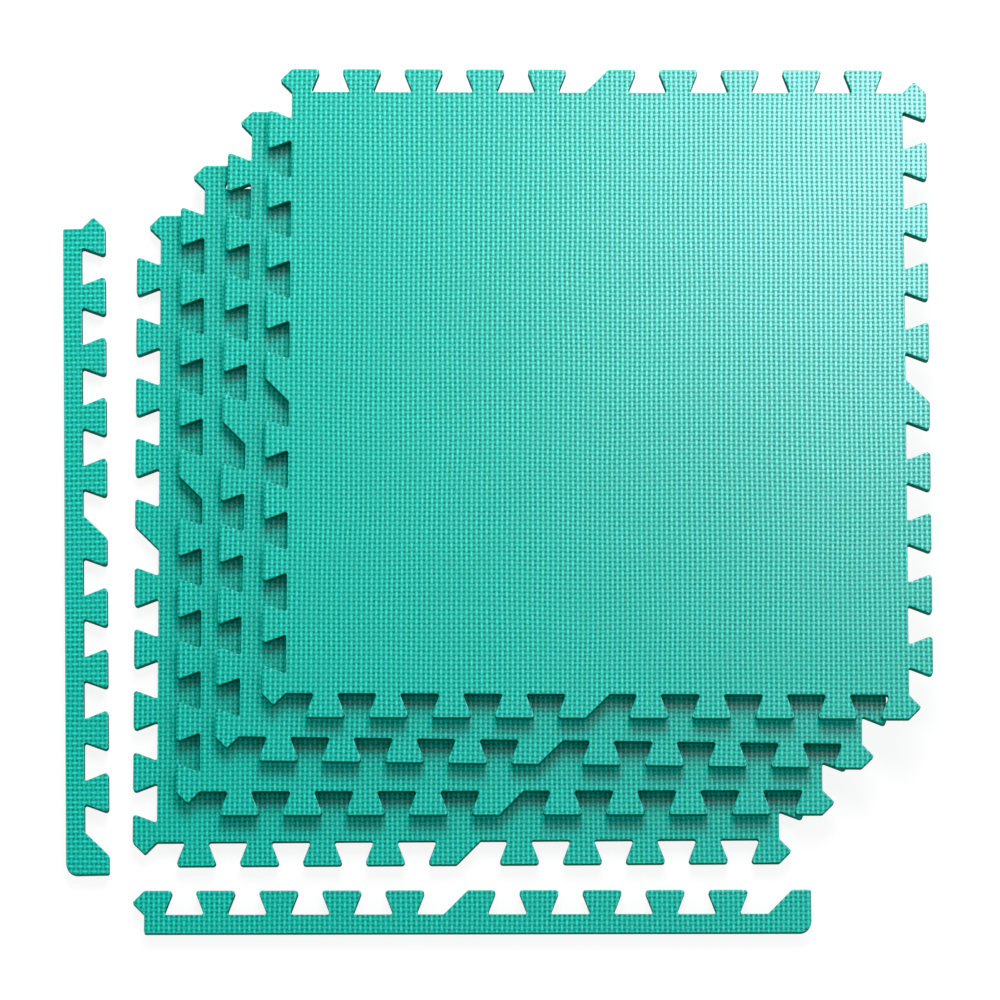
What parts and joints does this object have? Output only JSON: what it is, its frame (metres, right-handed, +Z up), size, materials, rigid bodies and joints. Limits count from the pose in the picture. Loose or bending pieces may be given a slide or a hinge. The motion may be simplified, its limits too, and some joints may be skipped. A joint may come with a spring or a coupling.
{
  "type": "foam blocking mat set",
  "caption": "Interlocking square foam mats for pinning out knitting, in a fanned stack with a woven-pattern top, and matching puzzle-edge border strips lying loose beside them.",
  "frame": {"origin": "middle of the footprint of the whole set, on the floor", "axes": "+X to the right along the front strip, +Y away from the front strip towards the back of the stack, +Z up through the stack"},
  "size_m": [0.8174, 0.8192, 0.0489],
  "materials": {
    "foam_mat": "matte closed-cell foam, top embossed with a fine woven pattern, turquoise green",
    "foam_strip": "matte closed-cell foam, top embossed with a fine woven pattern, turquoise green"
  },
  "bodies": {
    "bottom_mat": {"foam_mat_1_bottom": "foam_mat"},
    "second_mat": {"foam_mat_2": "foam_mat"},
    "third_mat": {"foam_mat_3": "foam_mat"},
    "top_mat": {"foam_mat_4_top": "foam_mat"},
    "left_strip": {"edge_strip_left": "foam_strip"},
    "front_strip": {"edge_strip_front": "foam_strip"}
  },
  "joints": [
    {"name": "lift_second_mat", "type": "slide", "parent": "bottom_mat", "child": "second_mat", "axis": [0, 0, 1], "range_m": [0, 0.1]},
    {"name": "lift_third_mat", "type": "slide", "parent": "second_mat", "child": "third_mat", "axis": [0, 0, 1], "range_m": [0, 0.1]},
    {"name": "lift_top_mat", "type": "slide", "parent": "third_mat", "child": "top_mat", "axis": [0, 0, 1], "range_m": [0, 0.1]},
    {"name": "lift_left_strip", "type": "slide", "parent": "bottom_mat", "child": "left_strip", "axis": [0, 0, 1], "range_m": [0, 0.1]},
    {"name": "lift_front_strip", "type": "slide", "parent": "bottom_mat", "child": "front_strip", "axis": [0, 0, 1], "range_m": [0, 0.1]}
  ]
}
